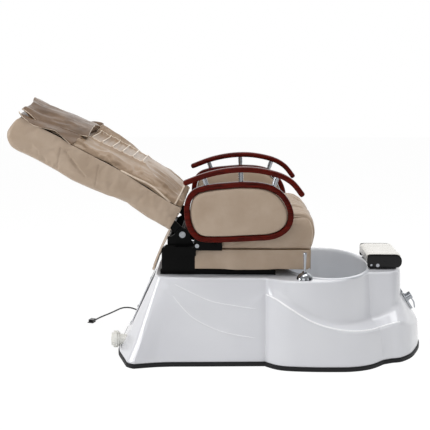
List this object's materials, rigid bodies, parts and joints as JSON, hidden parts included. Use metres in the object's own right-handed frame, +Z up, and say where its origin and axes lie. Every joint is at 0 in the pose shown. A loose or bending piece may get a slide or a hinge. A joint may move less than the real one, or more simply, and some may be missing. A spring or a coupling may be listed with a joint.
{
  "type": "pedicure spa chair",
  "caption": "Pedicure spa chair: a reclining, sliding massage seat with lifting wooden arms on a moulded foot-bath base with a tilting footrest, mixer and drain.",
  "frame": {"origin": "on the floor under the middle of the base, where the floor frame's middle cross member stands", "axes": "+Z up; +X the way the sitter faces, along the base; +Y to the sitter's left, across the base"},
  "size_m": [1.8552, 1.0246, 1.1279],
  "materials": {
    "tub_gelcoat": "gloss",
    "bath_liner": "gloss",
    "taupe_vinyl": "satin",
    "white_vinyl": "satin",
    "mahogany": "gloss",
    "polished_chrome": "polished",
    "black_steel": "satin",
    "dull_steel": "brushed",
    "black_rubber": "matte",
    "white_pvc": "matte",
    "grey_plastic": "matte",
    "black_plastic": "gloss",
    "hose_rubber": "matte",
    "plywood": "raw"
  },
  "bodies": {
    "base": {"base_shell": "tub_gelcoat", "foot_basin": "bath_liner", "kick_strip": "black_rubber", "floor_frame": "black_steel", "slide_rails": "black_steel", "service_panel": "tub_gelcoat", "panel_screws": "dull_steel", "drain_strainer": "polished_chrome", "drain_pipe": "white_pvc", "drain_union": "white_pvc", "jet_nozzles": "polished_chrome", "circulation_pump": "grey_plastic", "jet_pipes": "white_pvc", "mixer_body": "polished_chrome", "shower_dome": "polished_chrome", "water_hoses": "hose_rubber", "footrest_bracket": "dull_steel", "control_box": "grey_plastic", "cord_gland": "black_rubber", "power_cord": "black_rubber", "cord_coil": "black_rubber", "mains_plug": "black_plastic", "slide_actuator": "grey_plastic"},
    "plug": {"drain_plug": "polished_chrome"},
    "nut": {"union_nut": "white_pvc"},
    "cap": {"mixer_cap": "polished_chrome"},
    "lever": {"mixer_lever": "polished_chrome"},
    "shower": {"hand_shower": "polished_chrome"},
    "footrest": {"footrest_shell": "black_plastic", "footrest_cushion": "white_vinyl", "footrest_pin": "polished_chrome"},
    "seat": {"seat_frame": "black_steel", "seat_board": "plywood", "seat_cushion": "taupe_vinyl", "seat_skirt": "taupe_vinyl", "back_curtain": "taupe_vinyl", "slide_rod": "dull_steel", "arm_brackets": "black_steel", "arm_bolts": "dull_steel", "hinge_pins": "dull_steel"},
    "arm_left": {"lug_left": "black_steel", "ring_left": "mahogany", "panel_left": "taupe_vinyl", "posts_left": "polished_chrome", "handrail_left": "mahogany"},
    "arm_right": {"lug_right": "black_steel", "ring_right": "mahogany", "panel_right": "taupe_vinyl", "posts_right": "polished_chrome", "handrail_right": "mahogany"},
    "back": {"back_frame": "black_steel", "back_shell": "taupe_vinyl", "back_pad": "taupe_vinyl", "head_pillow": "taupe_vinyl", "massage_track": "dull_steel"},
    "carriage": {"massage_carriage": "grey_plastic"},
    "upper_roller_pair": {"upper_rollers": "grey_plastic"},
    "lower_roller_pair": {"lower_rollers": "grey_plastic"},
    "drive_motor": {"recline_motor": "grey_plastic"},
    "drive_rod": {"recline_rod": "dull_steel"}
  },
  "joints": [
    {"name": "plug_lift", "type": "slide", "parent": "base", "child": "plug", "axis": [0, 0, 1], "range_m": [0, 0.012]},
    {"name": "union_turn", "type": "hinge", "parent": "base", "child": "nut", "pos_m": [-0.71, -0.18, 0.066], "axis": [1, 0, 0], "continuous": true},
    {"name": "mixer_turn", "type": "hinge", "parent": "base", "child": "cap", "pos_m": [0.62646, 0, 0.2178], "axis": [0.8425, 0, 0.5386], "range_deg": [-45, 45]},
    {"name": "lever_lift", "type": "hinge", "parent": "cap", "child": "lever", "pos_m": [0.64921, 0, 0.23234], "axis": [0, -1, 0], "range_deg": [0, 25]},
    {"name": "shower_lift", "type": "slide", "parent": "base", "child": "shower", "axis": [0, 0, 1], "range_m": [0, 0.1]},
    {"name": "footrest_tilt", "type": "hinge", "parent": "base", "child": "footrest", "pos_m": [0.446, 0, 0.405], "axis": [0, -1, 0], "range_deg": [0, 50]},
    {"name": "seat_slide", "type": "slide", "parent": "base", "child": "seat", "axis": [1, 0, 0], "range_m": [0, 0.08]},
    {"name": "arm_left_lift", "type": "hinge", "parent": "seat", "child": "arm_left", "pos_m": [-0.334, 0.315, 0.525], "axis": [0, -1, 0], "range_deg": [0, 80]},
    {"name": "arm_right_lift", "type": "hinge", "parent": "seat", "child": "arm_right", "pos_m": [-0.334, -0.315, 0.525], "axis": [0, -1, 0], "range_deg": [0, 80]},
    {"name": "back_recline", "type": "hinge", "parent": "seat", "child": "back", "pos_m": [-0.4, 0, 0.565], "axis": [0, 1, 0], "range_deg": [0, 45]},
    {"name": "massage_travel", "type": "slide", "parent": "back", "child": "carriage", "axis": [-0.8805, 0, 0.4741], "range_m": [0, 0.38]},
    {"name": "upper_roll", "type": "hinge", "parent": "carriage", "child": "upper_roller_pair", "pos_m": [-0.55138, 0, 0.75213], "axis": [0, 1, 0], "continuous": true},
    {"name": "lower_roll", "type": "hinge", "parent": "carriage", "child": "lower_roller_pair", "pos_m": [-0.50383, 0, 0.72653], "axis": [0, 1, 0], "continuous": true},
    {"name": "drive_swing", "type": "hinge", "parent": "seat", "child": "drive_motor", "pos_m": [-0.12, 0, 0.436], "axis": [0, 1, 0], "range_deg": [0, 1.98]},
    {"name": "drive_extend", "type": "slide", "parent": "drive_motor", "child": "drive_rod", "axis": [-0.9819, 0, 0.1894], "range_m": [0, 0.05693]}
  ],
  "couplings": [
    {"joint": "drive_swing", "follows": "back_recline", "ratio": 0.042973},
    {"joint": "drive_extend", "follows": "back_recline", "m_per_rad": 0.071846}
  ]
}
